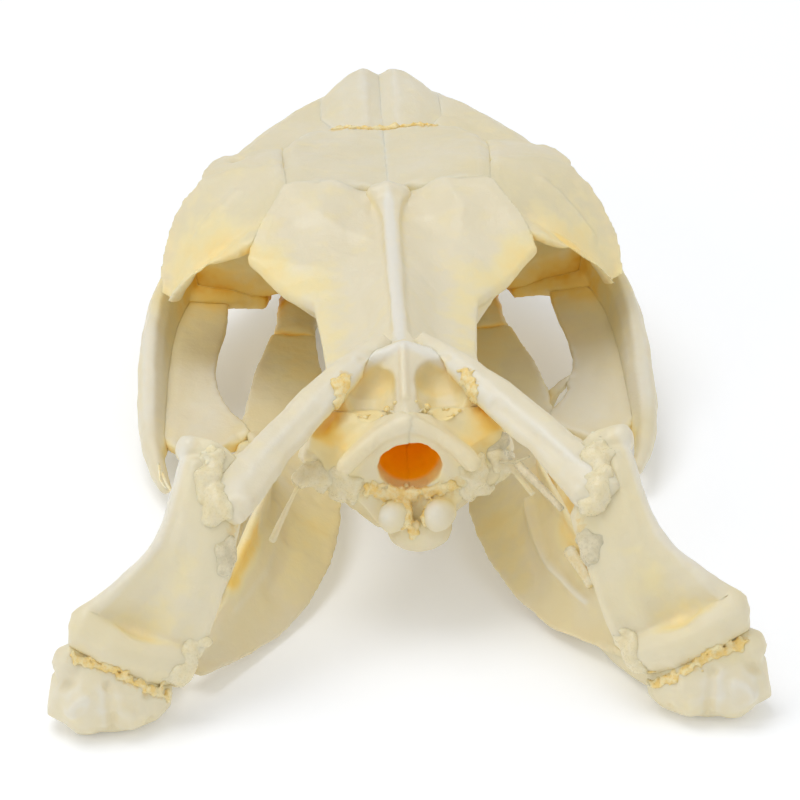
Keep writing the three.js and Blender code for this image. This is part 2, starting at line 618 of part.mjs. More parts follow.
// A broad blade, hollowed at its rear, with a thick head and a roller that stands on the lower jaw.
function quadrate(grow) {
  const blade = sheet(QUADRATE_OUTER_EDGE, QUADRATE_INNER_EDGE, grow, {
    thick: 3.6, sag: [0.6, -1.2], rows: 10, columns: 5, rim: 0.5,
  });
  const head = rod([
    place(24.2, -3.4, 26.0, 1.1, 1.4), place(21.6, -4.2, 25.4, 1.9, 2.0), place(18.8, -4.4, 24.0, 1.2, 1.6),
  ], grow, { rings: 4, sides: 8, across: [vec(0, 1, 0), vec(0, 1, 0)] });
  const roller = rod([
    place(35.2, -16.9, 11.9, 1.8, 2.0), place(31.6, -17.8, 10.4, 2.1, 2.2),
    place(28.0, -17.6, 8.2, 2.2, 2.5), place(24.2, -16.0, 6.4, 1.7, 2.3),
  ], grow, { rings: 6, sides: 10, across: [vec(0, 1, 0), vec(0, 1, 0)] });
  return [blade, head, roller];
}

function columella(grow, side) {
  const end = side < 0 ? place(15.2, -3.6, 0.4, 0.4, 0.4) : place(13.4, -0.6, 3.2, 0.4, 0.4);
  const start = place(10.6, 3.4, 5.8, 0.45, 0.45);
  return [rod([start, place(12.6, 0.6, 3.8, 0.32, 0.32), end], grow, { rings: 4, sides: 6 })];
}

// Lower jaw, drawn on the floor. Each pair is [y, how far both jaws lie to the animal's right there].
const JAW_SWAY = [[-16, 0], [-6, -1.8], [42, 1.4], [92, 1.4]];

function sway(y) {
  const next = JAW_SWAY.findIndex(([at]) => at > y);
  if (next === 0) return 0;
  const [[fromY, from], [toY, to]] = [JAW_SWAY[next - 1], JAW_SWAY[next]];
  return THREE.MathUtils.mapLinear(y, fromY, toY, from, to);
}

function swayed(places, side) {
  return places.map(({ at, size }) => ({ at: at.clone().add(vec(side * sway(at.y), 0, 0)), size }));
}

// The jaw bones are tall ovals that lean outwards at the top.
const TIPPED = [vec(0.95, 0, -0.3), vec(0.9, 0.3, -0.35)];

function compoundBone(grow, side) {
  const foot = rod([
    place(27.2, -15.0, 2.4, 2.4, 2.4), place(29.6, -17.4, 3.4, 3.6, 3.5),
    place(33.4, -18.0, 4.4, 3.8, 4.4), place(37.2, -17.2, 5.8, 2.6, 4.6),
  ], grow, { rings: 6, sides: 12, across: [vec(0, 1, 0), vec(0, 1, 0)] });
  const heel = ball(34.6, -19.2, 4.0, 3.0, 2.6, 3.9, grow);
  const outerLobe = ball(36.4, -17.8, 8.2, 1.9, 2.1, 2.1, grow, 8);
  const innerLobe = ball(30.2, -19.2, 4.4, 2.8, 2.0, 3.0, grow, 8);
  const ramus = rod(swayed([
    place(31, -17, 2.4, 3.0, 2.4), place(27.4, -11.6, 2.2, 2.8, 2.2), place(24.4, -5, 2.8, 2.1, 2.8),
    place(22.1, 4, 3.9, 1.8, 3.9), place(20.3, 14, 4.4, 1.8, 4.4), place(18.9, 24, 4.0, 1.7, 4.0),
    place(17.6, 33, 2.6, 1.5, 2.6), place(16.7, JAW_SPLIT, 2.0, 1.3, 2.1),
  ], side), grow, { rings: 13, sides: 10, across: TIPPED });
  return [foot, heel, outerLobe, innerLobe, ramus];
}

// The deep groove along the compound bone's upper edge, where the jaw's closing muscles end.
const jawGroove = (side) => [rod(swayed([
  place(22.8, -1, 6.2, 0.5, 0.7), place(21.3, 8, 7.9, 0.85, 2.4), place(19.8, 17, 8.2, 0.85, 2.6),
  place(18.8, 25, 7.2, 0.5, 0.9),
], side), 0, { rings: 6, sides: 8, across: TIPPED })];

const DENTARY = [
  place(16.7, JAW_SPLIT + GAP + 0.6, 2.0, 1.4, 2.1), place(15.2, 50, 2.0, 1.4, 2.1),
  place(13.7, 58, 2.1, 1.4, 2.2), place(12.0, 66, 2.1, 1.4, 2.2),
  place(9.8, 74, 2.2, 1.4, 2.3), place(6.8, 82, 2.4, 1.4, 2.3),
  place(3.7, 88, 2.8, 1.2, 2.1), place(2.3, 90.4, 3.0, 0.9, 1.7),
];

function dentary(grow, side) {
  const places = swayed(DENTARY, side);
  const across = [vec(0.94, 0.2, -0.3), vec(0.8, 0.6, 0)];
  const shaft = rod(places, grow, { rings: 11, sides: 10, across });
  const upward = vec(0.12, 0, 1).normalize();
  const teeth = toothRow(places, grow, {
    count: 16, from: 0.06, to: 0.97, longest: 3.6, shortest: 1.1, longestAt: 1,
    pointing: upward, seed: 53 + side, missing: side > 0 ? [0, 3, 9] : [2, 6, 11],
  });
  const leaning = vec(0.58, 0.35, 0.9).normalize(); // one rear tooth of the right jaw stands out to the side
  if (side > 0) teeth.push(tooth(vec(18.5, 43.4, 3.4), leaning, 6.8, 0.95, 0.2, grow));
  return [shaft, ...teeth];
}

addOcciput();
addBone('parietal', PALE, CRANIUM, 1, parietal);
addBone('basisphenoid', CREAM, CRANIUM, 1, basisphenoid);
addPair('supratemporal', PALE, CRANIUM, supratemporal);
addPair('frontal', IVORY, CRANIUM, frontal);
addPair('nasal', IVORY, CRANIUM, nasal);
addPair('maxilla', IVORY, CRANIUM, maxilla);
addPair('prefrontal', IVORY, CRANIUM, prefrontal, orbitScoop);
addPair('postorbital', IVORY, CRANIUM, postorbital);
addPair('supraorbital', IVORY, CRANIUM, supraorbital);
addPair('ectopterygoid', CREAM, CRANIUM, ectopterygoid);
addPair('pterygoid', CREAM, CRANIUM, pterygoid);
addPair('palatine', CREAM, CRANIUM, palatine);
addPair('vomer', CREAM, CRANIUM, vomer);
addPair('septomaxilla', CREAM, CRANIUM, septomaxilla);
addBone('premaxilla', IVORY, CRANIUM, 1, premaxilla);
addPair('quadrate', IVORY, FLOOR, quadrate);
addPair('compound_bone', IVORY, FLOOR, compoundBone, jawGroove);
addPair('dentary', IVORY, FLOOR, dentary);
addPair('columella', IVORY, CRANIUM, columella);

const bounds = new THREE.Box3().setFromObject(skull);
const middle = bounds.getCenter(vec(0, 0, 0));
skull.position.set(-middle.x, -middle.y, -bounds.min.z);

export default skull;
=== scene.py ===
"""Looks of the python skull: every bone is refined from its solid, carved, stained, given painted shade,
highlight and glow, and lit as in the photo.

Lengths are in metres, in the part's own frame: +Y to the snout, +X to the animal's right, +Z up.
Places of marks on the bones are in millimetres in the same frame.
"""
import json
import math
from collections import namedtuple

import bmesh
import bpy
import numpy as np
from mathutils import Matrix, Vector
from mathutils.bvhtree import BVHTree


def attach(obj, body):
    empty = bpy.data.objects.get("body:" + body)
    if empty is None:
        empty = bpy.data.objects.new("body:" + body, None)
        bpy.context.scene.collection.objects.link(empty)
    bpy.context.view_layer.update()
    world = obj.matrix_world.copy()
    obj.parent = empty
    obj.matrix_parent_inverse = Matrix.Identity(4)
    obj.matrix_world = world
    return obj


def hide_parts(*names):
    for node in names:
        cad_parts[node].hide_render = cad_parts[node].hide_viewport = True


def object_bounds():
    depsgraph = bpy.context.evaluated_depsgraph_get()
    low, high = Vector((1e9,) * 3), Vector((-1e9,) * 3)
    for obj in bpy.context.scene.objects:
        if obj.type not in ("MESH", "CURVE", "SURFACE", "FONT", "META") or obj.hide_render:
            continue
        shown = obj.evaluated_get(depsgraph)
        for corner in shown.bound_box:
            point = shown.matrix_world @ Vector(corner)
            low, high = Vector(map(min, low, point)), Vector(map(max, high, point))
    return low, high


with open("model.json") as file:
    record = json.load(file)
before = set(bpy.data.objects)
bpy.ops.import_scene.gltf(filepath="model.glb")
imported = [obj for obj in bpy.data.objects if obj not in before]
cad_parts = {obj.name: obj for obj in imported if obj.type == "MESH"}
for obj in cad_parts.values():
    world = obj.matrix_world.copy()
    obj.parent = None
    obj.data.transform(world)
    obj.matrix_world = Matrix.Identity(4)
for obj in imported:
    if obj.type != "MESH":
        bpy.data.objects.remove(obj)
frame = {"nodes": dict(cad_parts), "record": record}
cad_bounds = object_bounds()

MM = 0.001
VOXEL = 0.26 * MM  # grain of the refined bones
THIN_VOXEL = 0.15 * MM  # grain of the ear's thin rods
TISSUE_VOXEL = 0.15 * MM  # grain of the dried tissue
SMOOTHING_ROUNDS = 36
SMOOTHING_STEPS = (0.55, -0.565)  # in, and back out, so that nothing shrinks
CRUMB_ROUNDS = 3  # how often the crumbs of tissue are evened out
MELT_ROUNDS = 18  # and the soft lumps
CLOSING_START = 0.6 * MM  # bone this near to another is drawn up to it
CLOSING_END = 1.3 * MM  # bone this far from another stays where it is
CLOSING_SHARE = 0.7  # how much of the way to its neighbour a bone is drawn; over half, so that they meet
SUTURE_REACH = 0.8 * MM  # how far the amber stain spreads from a suture
HOLLOW_REACH = 12 * MM  # how far a surface is shaded by the bones around it
HOLLOW_RAYS = 9
SKYWARD = 1.05  # how much the rays lean away from the surface that they leave
RAY_START = 0.5 * MM  # how far above the surface they begin
FAR_FADE = 0.6  # how much less a surface at full reach counts than a near one
HOLLOW_ROUNDS = 14  # how often the hollows' shades are evened out
SKULL_MIDDLE = 0.6  # x of the cranium's middle plane, in millimetres

# Bone colours, linear light
IVORY = (0.75, 0.665, 0.435)
PALE = (0.78, 0.715, 0.55)
# Bluish white: partly the bone's paler tone on crests and rims, partly painted highlight on ridges, edges
# and faces that catch the light.
BLUISH = (0.80, 0.775, 0.69)
# The cream, warm yellow and amber colours below also serve as painted shade in the hollows, the warm tint
# of light glowing through and bouncing inside the bone; cream also tints random patches, and amber the
# dried tissue in seams.
CREAM = (0.84, 0.73, 0.42)
WARM_SHADE = (0.88, 0.71, 0.33)
AMBER = (0.92, 0.63, 0.16)
DEEP_AMBER_SHADE = (0.88, 0.49, 0.05)
SUTURE = (0.78, 0.60, 0.27)
# Orange: painted glow, the light that shines through the braincase's thin walls into the foramen and the
# ear opening.
ORANGE = (0.98, 0.45, 0.002)
CARTILAGE = (0.60, 0.53, 0.35)
DARK_SPECK = (0.10, 0.07, 0.05)

BASE_COLOURS = {
    "ivory_bone": IVORY,
    "pale_bone": (0.78, 0.70, 0.50),
    "cream_bone": (0.80, 0.69, 0.42),
    "jaw_bone": (0.78, 0.69, 0.45),
}


# Marks: a line over some bones, how far it reaches to its sides, and how strong it is
Mark = namedtuple("Mark", "bones path width amount")


def both_sides(marks, middle=SKULL_MIDDLE):
    """Marks drawn on the animal's right, and the same on its left."""
    pairs = []
    for mark in marks:
        path = [(2 * middle - x, y, z) for x, y, z in mark.path]
        bones = tuple(bone.replace("_right", "_left") for bone in mark.bones)
        pairs.extend([mark, Mark(bones, path, mark.width, mark.amount)])
    return pairs


CREST = [(0.4, 15.2, 29.1), (0.4, 5, 28.5), (0.3, -5, 28.3), (0.3, -15, 28.8), (0.3, -24, 29.6)]
CHEVRON_ARM = [(1.0, -36.6, 26.0), (4.3, -37.2, 24.6), (7.5, -38.4, 22.0)]
CHEVRON_RECESS = [(3.4, -33.6, 26.6), (6.6, -35.0, 24.6), (9.4, -35.8, 21.8)]
BROW = [(0.4, 14.4, 29.0), (4.5, 14.8, 29.3), (9.0, 16.0, 29.5), (13.0, 15.4, 28.8)]
QUADRATE_OUTER_EDGE = [
    (23.3, -41.7, 26.8),
    (25.3, -46.5, 22.8),
    (27.0, -50, 19.3),
    (31.4, -53, 15.6),
    (34.6, -54, 12.8),
]
QUADRATE_INNER_EDGE = [(18.4, -46.8, 20), (19.6, -50, 16.2), (20.9, -51.8, 12.6), (22.6, -53, 8.4)]
QUADRATE_HEAD_LINE = [(20.8, -41.6, 26.2), (21.0, -45, 24), (20.6, -48, 21.6)]
FOOT_JOINT = [(35.7, -56.2, 9.4), (31.9, -57.2, 8.4), (28.4, -57, 5.8), (25.2, -55.6, 3.9)]
PTERYGOID_RIDGE = [(14.5, -23.8, 8.5), (16.0, -33.5, 6.4), (19.6, -41, 5.6)]
NASAL_SUTURE = [
    (-5.4, 34.9, 27.5),
    (-3.0, 35.5, 27.7),
    (0.4, 35.8, 27.4),
    (3.8, 35.5, 27.7),
    (6.6, 35.0, 27.7),
]
BAR_RIDGE = [(8.6, -33.4, 28.6), (15.6, -41.4, 26.6), (20.2, -46.4, 25)]
BAR_SEAM = [(7.2, -31.0, 29.0), (7.7, -32.3, 28.2), (7.9, -33.4, 26.8)]
FORAMEN = [(0.75, -32.6, 20.9), (0.75, -27, 20.9)]
JAW_STRIP = [(18.4, -36.4, 9.4), (19.4, -38.8, 8.7), (20.4, -41.2, 7.6)]
EAR_OPENING = [(-9.6, -35, 19.8)]
BELOW_FORAMEN = [
    (-4.0, -36.9, 18.0),
    (-2.0, -36.9, 17.5),
    (0.8, -37, 17.2),
    (3.6, -36.9, 17.6),
    (5.8, -36.9, 18.4),
]
BETWEEN_CONDYLES = [(0.9, -37.4, 17), (0.9, -38.4, 15.4), (0.9, -38.8, 14.2)]


def carving():
    """Ridges and hollows that are finer than the solids, as heights in millimetres."""
    quadrate = ("quadrate_right",)
    jaw = ("compound_bone_right",)
    occiput = ("supraoccipital", "exoccipital_right")
    marks = [
        Mark(("parietal",), CREST, 0.8, 0.35),
        Mark(("supraoccipital",), [(0.4, -27.5, 30.8), (0.4, -30.5, 28.9), (0.4, -33.5, 27.4)], 0.4, 0.6),
        Mark(("supraorbital_left",), [(-17.3, 26.4, 28.1)], 0.8, -1.2),
        Mark(("exoccipital_left",), EAR_OPENING, 0.6, -0.8),
    ]
    marks += both_sides([
        Mark(("parietal", "frontal_right"), BROW, 1.0, 0.4),
        Mark(("parietal",), [(5.2, 9, 28), (6.2, 0, 26), (5.4, -14, 25)], 2.6, -0.75),
        Mark(("parietal",), [(11.5, 8.5, 28.6)], 3.2, -0.7),
        Mark(("parietal",), [(2.8, 14.4, 28.2)], 1.1, 0.8),
        Mark(("postorbital_right",), [(17.5, 11.5, 27.2), (20.5, 11, 24.6), (23, 11.2, 21.6)], 2.1, -0.8),
        Mark(("postorbital_right",), [(19, 18, 27.9), (21.7, 16.3, 25.7), (24.6, 14.9, 22.4)], 0.8, 0.5),
        Mark(("supraoccipital",), [(3.4, -29.2, 27.4)], 1.7, -0.9),
        Mark(occiput, CHEVRON_RECESS, 1.3, -0.9),
        Mark(occiput, CHEVRON_ARM, 0.9, 0.9),
        Mark(("exoccipital_right",), [(4.4, -35.4, 18.5)], 1.1, 0.7),
        Mark(("exoccipital_right",), [(3.3, -39.0, 16.6), (3.1, -38.8, 15)], 1.4, 0.8),
        Mark(("exoccipital_right",), [(10.2, -34.6, 18.8), (8.4, -35, 17.0)], 1.5, 1.0),
        Mark(("supratemporal_right",), [(10, -35.4, 27.4), (16.4, -43, 25.6)], 0.7, -0.35),
        Mark(("supratemporal_right",), BAR_RIDGE, 0.5, 0.3),
        Mark(("supratemporal_right",), [(18.4, -47.4, 23.2)], 1.2, 0.8),
        Mark(("supratemporal_right",), [(13.2, -40.4, 24.8)], 1.8, -0.4),
        Mark(("nasal_right",), [(1.6, 36.4, 27.6), (2.6, 35.6, 27.6)], 0.9, -0.5),
    ])
    marks += both_sides([
        Mark(("pterygoid_right",), PTERYGOID_RIDGE, 0.6, 0.9),
        Mark(("pterygoid_right",), [(13, -26, 6), (14.6, -35, 4.2)], 1.6, -0.6),
        Mark(quadrate, QUADRATE_HEAD_LINE, 0.5, -0.5),
        Mark(quadrate, QUADRATE_OUTER_EDGE, 1.0, 0.6),
        Mark(quadrate, QUADRATE_INNER_EDGE, 0.8, 0.6),
        Mark(quadrate, [(22.4, -43.8, 25.4), (23.8, -48, 21.2), (24.9, -50.6, 18)], 0.7, 0.7),
        Mark(quadrate, [(24.5, -50.5, 17.4), (27.5, -53.2, 14), (28.6, -54.4, 12)], 2.0, -0.7),
        Mark(quadrate, [(22.6, -50.6, 15.4), (25.4, -53.6, 10.4)], 1.3, 0.5),
        Mark(quadrate, [(34.4, -54.6, 12.6)], 1.6, 0.6),
        Mark(quadrate, [(29.4, -55.6, 9.4), (32.4, -56.4, 10.4)], 1.2, 0.5),
        Mark(jaw, [(35.2, -57, 7.4), (37.6, -57.6, 6.2)], 0.5, -0.5),
        Mark(jaw, [(32.2, -57.9, 6.8), (31.8, -58.8, 3.4), (31.9, -58.2, 1)], 0.6, -0.7),
        Mark(jaw, [(28.3, -57.2, 5.2), (28, -56.8, 2)], 0.6, -0.6),
        Mark(jaw, [(34.4, -59.4, 6), (36.2, -58.8, 4)], 0.8, 0.5),
        Mark(jaw, [(30, -58.6, 3.6), (29.8, -58, 1.8)], 0.8, 0.4),
    ], middle=0)
    return marks


def crust_stains():
    """Where amber tissue has dried in seams and joints, and painted shade in one small notch."""
    everything = ()
    marks = [
        Mark(everything, NASAL_SUTURE, 0.8, 1.1),
        Mark(everything, BELOW_FORAMEN, 1.3, 0.9),
        Mark(everything, [(0.4, 36, 27.5), (0.5, 43, 28)], 0.6, 0.6),
        Mark(everything, BETWEEN_CONDYLES, 0.9, 1.2),
        # painted shade in the small notch beside the left supraorbital
        Mark(("supraorbital_left",), [(-17.3, 26.4, 28.1)], 0.7, 1.0),
    ]
    marks += both_sides([Mark(everything, BAR_SEAM, 0.9, 0.9)])
    marks += both_sides([
        Mark(everything, FOOT_JOINT, 0.8, 0.95),
        Mark(everything, QUADRATE_HEAD_LINE, 0.55, 0.85),
        Mark(everything, [(18.2, -48.4, 20.4), (19, -50, 17.2)], 1.0, 0.7),
    ], middle=0)
    return marks


def painted_shade_marks():
    """Painted shade: warm yellow to amber in recesses, orbits and openings besides the computed hollows,
    the tint of light glowing through and bouncing inside the bone.
    """
    everything = ()
    return both_sides([
        Mark(everything, [(20.5, 9, 23), (24.2, 27.3, 11.6), (17.5, 27.2, 10.4)], 6.0, 0.6),
        Mark(("supraoccipital", "exoccipital_right"), CHEVRON_RECESS, 1.3, 0.25),
        Mark(("parietal",), [(13.5, 0.5, 24), (15.3, 3.5, 24.8)], 3.5, 0.45),
        Mark(everything, [(13.2, 18.5, 7), (11.6, 12.5, 6.6)], 4.5, 0.4),
        Mark(("parietal",), [(8.6, -1, 24.2), (8.4, -15, 23)], 3.0, 0.28),
        Mark(("compound_bone_right",), [(20.6, -32, 8), (21.6, -38, 8)], 4.0, 0.4),
        Mark(("exoccipital_right",), [(9.4, -35.4, 23), (6, -36.4, 18)], 2.6, 0.3),
        Mark(("supraoccipital",), [(3.2, -29.4, 27)], 1.6, 0.25),
        Mark(("quadrate_right",), [(24.5, -50.5, 17.4), (28, -53.8, 12.6)], 1.8, 0.28),
        Mark(("pterygoid_right",), [(16.8, -33, 10.5), (18.0, -36, 9.8), (19.8, -39.5, 8.6)], 1.7, 0.85),
        Mark(("pterygoid_right",), [(11.4, -23, 4.6), (13.4, -33, 3)], 3.0, 0.22),
    ])


def pale_and_highlight_marks():
    """Where the bone is bluish white: partly its paler tone on crests and rims, partly painted highlight on
    ridges, edges and faces that catch the light.
    """
    everything = ()
    marks = [Mark(("parietal",), CREST, 0.7, 0.8)]
    marks += both_sides([
        Mark(("supraoccipital",), [(1.2, -27.2, 30.6), (3.6, -27.8, 29.6), (5.2, -29, 28)], 0.8, 0.8),
        Mark(("supratemporal_right",), [(5, -29, 29.6), (12, -37, 27.4), (19.4, -46, 24.6)], 2.0, 0.45),
        Mark(("exoccipital_right",), [(3.2, -39, 16.2)], 1.4, 0.5),
        Mark(("maxilla_right",), [(29.4, 16, 11), (30, 2, 8)], 3.0, 0.35),
        Mark(everything, [(5, 46, 28), (7, 22, 29.4)], 8.0, 0.3),
        Mark(everything, [(23, 10, 7), (23, 0, 6)], 5.0, 0.5),
        Mark(("pterygoid_right",), PTERYGOID_RIDGE, 0.9, 0.35),
    ])
    marks += both_sides([
        Mark(everything, QUADRATE_OUTER_EDGE, 1.0, 0.55),
        Mark(("compound_bone_right",), [(33, -59, 5), (36, -58.4, 5)], 2.8, 0.4),
    ], middle=0)
    return marks


# Surface noise
MIXERS = (374761393, 668265263, 2147483647)  # large odd numbers that scramble a corner's place
SEED_MIXER = 974634777
LAST_MIXER = 1274126177


def lattice_value(corner, seed):
    """A steady random number from 0 to 1 for each whole-numbered corner."""
    mixed = seed * SEED_MIXER
    for axis, mixer in enumerate(MIXERS):
        mixed = mixed + corner[:, axis] * mixer
    mixed = (mixed ^ (mixed >> 13)) * LAST_MIXER
    return ((mixed ^ (mixed >> 16)) & 0xFFFF) / 0xFFFF


def ripples(points, grain, seed):
    """Smooth noise from -1 to 1 over points, with lumps about one grain wide."""
    place = points / grain
    corner = np.floor(place).astype(np.int64)
    part = place - corner
    part = part * part * (3 - 2 * part)
    total = np.zeros(len(points))
    for dx in (0, 1):
        for dy in (0, 1):
            for dz in (0, 1):
                share = (
                    (part[:, 0] if dx else 1 - part[:, 0])
                    * (part[:, 1] if dy else 1 - part[:, 1])
                    * (part[:, 2] if dz else 1 - part[:, 2])
                )
                total += share * lattice_value(corner + (dx, dy, dz), seed)
    return 2 * total - 1


# Mesh helpers
def vertex_array(mesh):
    flat = np.empty(len(mesh.vertices) * 3)
    mesh.vertices.foreach_get("co", flat)
    return flat.reshape(-1, 3)


def normal_array(mesh):
    flat = np.empty(len(mesh.vertices) * 3)
    mesh.vertex_normals.foreach_get("vector", flat)
    return flat.reshape(-1, 3)


def edge_array(mesh):
    flat = np.empty(len(mesh.edges) * 2, dtype=np.int64)
    mesh.edges.foreach_get("vertices", flat)
    return flat.reshape(-1, 2)


def write_vertices(mesh, points):
    mesh.vertices.foreach_set("co", points.ravel())
    mesh.update()


def neighbour_mean(values, edges, degree):
    """The mean over each vertex's neighbours, for one column or several."""
    columns = values.reshape(len(values), -1)
    means = np.empty_like(columns)
    for c in range(columns.shape[1]):
        column = columns[:, c]
        total = np.bincount(edges[:, 0], column[edges[:, 1]], len(column))
        total += np.bincount(edges[:, 1], column[edges[:, 0]], len(column))
        means[:, c] = total / degree
    return means.reshape(values.shape)


def evened(values, edges, degree, rounds):
    for _ in range(rounds):
        values = 0.5 * values + 0.5 * neighbour_mean(values, edges, degree)
    return values


def smoothed(points, edges, degree, strength, rounds):
    """Evens out facets without shrinking the piece. strength is each vertex's share, from 0 to 1."""
    for _ in range(rounds):
        for step in SMOOTHING_STEPS:
            pull = neighbour_mean(points, edges, degree) - points
            points = points + step * strength[:, None] * pull
    return points


def link(name, mesh):
    piece = bpy.data.objects.new(name, mesh)
    bpy.context.scene.collection.objects.link(piece)
    return piece


def remeshed(mesh, grain):
    """A new mesh of the same shape, with an even, fine grain."""
    copy = link("remesh_source", mesh.copy())
    remesh = copy.modifiers.new("grain", "REMESH")
    remesh.mode = "VOXEL"
    remesh.voxel_size = grain
    evaluated = copy.evaluated_get(bpy.context.evaluated_depsgraph_get())
    result = bpy.data.meshes.new_from_object(evaluated)
    bpy.data.objects.remove(copy)
    return result


def tree_of(meshes):
    points = []
    faces = []
    for mesh in meshes:
        start = len(points)
        points.extend(tuple(v.co) for v in mesh.vertices)
        faces.extend(tuple(start + i for i in p.vertices) for p in mesh.polygons)
    return BVHTree.FromPolygons(points, faces)


TIP_ANGLE = math.radians(125)  # the faces' angles at a tooth's point add up to less than this


def sharp_tips(mesh):
    """Points of the teeth: corners of the CAD mesh where the faces around add up to a narrow cone."""
    corners = {}
    for polygon in mesh.polygons:
        ids = polygon.vertices
        for i, vertex in enumerate(ids):
            here = mesh.vertices[vertex].co
            one = mesh.vertices[ids[i - 1]].co - here
            other = mesh.vertices[ids[(i + 1) % len(ids)]].co - here
            key = tuple(round(c * 1e6) for c in here)
            entry = corners.setdefault(key, [here.copy(), 0.0])
            if one.length > 0 and other.length > 0:
                entry[1] += one.angle(other)
    return [place for place, angle in corners.values() if angle < TIP_ANGLE]


def nearest_in(points, tree, reach):
    """The nearest place on the tree's surface for each point, and how far it is, up to reach."""
    places = points.copy()
    distances = np.full(len(points), reach)
    for i, point in enumerate(points):
        hit = tree.find_nearest(Vector(point), reach)
        if hit[3] is not None:
            places[i] = hit[0]
            distances[i] = hit[3]
    return places, distances


def path_distance(points, path):
    """How far each point is from a path of straight lines, or from its only point."""
    corners = np.array(path) * MM
    nearest = np.linalg.norm(points - corners[0], axis=1)
    for start, end in zip(corners, corners[1:]):
        along = end - start
        share = np.clip((points - start) @ along / (along @ along), 0, 1)
        nearest = np.minimum(nearest, np.linalg.norm(points - start - share[:, None] * along, axis=1))
    return nearest


def sum_of_marks(points, bone, marks):
    total = np.zeros(len(points))
    for mark in marks:
        if not mark.bones or bone in mark.bones:
            total += mark.amount * np.exp(-((path_distance(points, mark.path) / (mark.width * MM)) ** 2))
    return total


def hollow_shares(points, normals, tree):
    """The share of sky, near each point, that other bone covers: 0 in the open and 1 deep in a hollow."""
    random = np.random.default_rng(5)
    directions = random.normal(size=(len(points), HOLLOW_RAYS, 3))
    directions /= np.linalg.norm(directions, axis=2)[:, :, None]
    directions += SKYWARD * normals[:, None, :]
    covered = np.zeros(len(points))
    for i in range(len(points)):
        start = Vector(points[i] + RAY_START * normals[i])
        for direction in directions[i]:
            hit = tree.ray_cast(start, Vector(direction), HOLLOW_REACH)
            if hit[3] is not None and hit[1].dot(Vector(direction)) < 0:
                covered[i] += 1 - FAR_FADE * hit[3] / HOLLOW_REACH
    return covered / HOLLOW_RAYS


def store_stains_and_shade(mesh, hollow, crust, pale, painted_glow):
    # Per vertex: painted shade in hollows, dried tissue in seams, paler bone with painted highlight,
    # painted glow in the braincase.
    attribute = mesh.color_attributes.new("stains_and_shade", "FLOAT_COLOR", "POINT")
    columns = np.clip(np.stack([hollow, crust, pale, painted_glow], axis=1), 0, 1)
    attribute.data.foreach_set("color", columns.ravel())


# Materials
def new_material(name):
    material = bpy.data.materials.new(name)
    material.use_nodes = True
    material.node_tree.nodes.clear()
    return material, material.node_tree


def set_input(tree, node, key, value):
    socket = node.inputs[key]
    if isinstance(value, bpy.types.NodeSocket):
        tree.links.new(value, socket)
    elif isinstance(value, tuple) and socket.type == "RGBA":
        socket.default_value = (*value, 1)
    else:
        socket.default_value = value


def mix_colours(tree, share, low, high):
    node = tree.nodes.new("ShaderNodeMix")
    node.data_type = "RGBA"
    for key, value in ((0, share), (6, low), (7, high)):
        set_input(tree, node, key, value)
    return node.outputs[2]


def math_node(tree, operation, first, second):
    node = tree.nodes.new("ShaderNodeMath")
    node.operation = operation
    set_input(tree, node, 0, first)
    set_input(tree, node, 1, second)
    return node.outputs[0]


def map_range(tree, value, low, high, to_low=0.0, to_high=1.0):
    node = tree.nodes.new("ShaderNodeMapRange")
    node.interpolation_type = "SMOOTHSTEP"
    for key, number in enumerate((value, low, high, to_low, to_high)):
        set_input(tree, node, key, number)
    return node.outputs[0]


def noise(tree, vector, scale, detail=3.0, roughness=0.55):
    node = tree.nodes.new("ShaderNodeTexNoise")
    for key, value in (("Vector", vector), ("Scale", scale), ("Detail", detail), ("Roughness", roughness)):
        set_input(tree, node, key, value)
    return node.outputs["Fac"]


def cells(tree, vector, scale):
    node = tree.nodes.new("ShaderNodeTexVoronoi")
    set_input(tree, node, "Vector", vector)
    set_input(tree, node, "Scale", scale)
    return node.outputs["Distance"]


SUBSURFACE_RADIUS = (1.0, 0.62, 0.30)  # red light travels farthest in bone
SUBSURFACE_SCALE = 1.2 * MM
BUMP_HEIGHT = 0.2 * MM


def finish_material(tree, colour, roughness, height, bump_strength, subsurface, specular, glow=0.0):
    bump = tree.nodes.new("ShaderNodeBump")
    set_input(tree, bump, "Strength", bump_strength)
    set_input(tree, bump, "Distance", BUMP_HEIGHT)
    set_input(tree, bump, "Height", height)
    shader = tree.nodes.new("ShaderNodeBsdfPrincipled")
    shader.subsurface_method = "BURLEY"
    set_input(tree, shader, "Base Color", colour)
    set_input(tree, shader, "Roughness", roughness)
    set_input(tree, shader, "Subsurface Weight", subsurface)
    set_input(tree, shader, "Subsurface Radius", SUBSURFACE_RADIUS)
    set_input(tree, shader, "Subsurface Scale", SUBSURFACE_SCALE)
    set_input(tree, shader, "Specular IOR Level", specular)
    set_input(tree, shader, "Normal", bump.outputs[0])
    set_input(tree, shader, "Emission Color", colour)
    set_input(tree, shader, "Emission Strength", glow)
    output = tree.nodes.new("ShaderNodeOutputMaterial")
    tree.links.new(shader.outputs[0], output.inputs[0])


BRAINCASE_GLOW = 0.06  # light that comes through the thin walls of the braincase


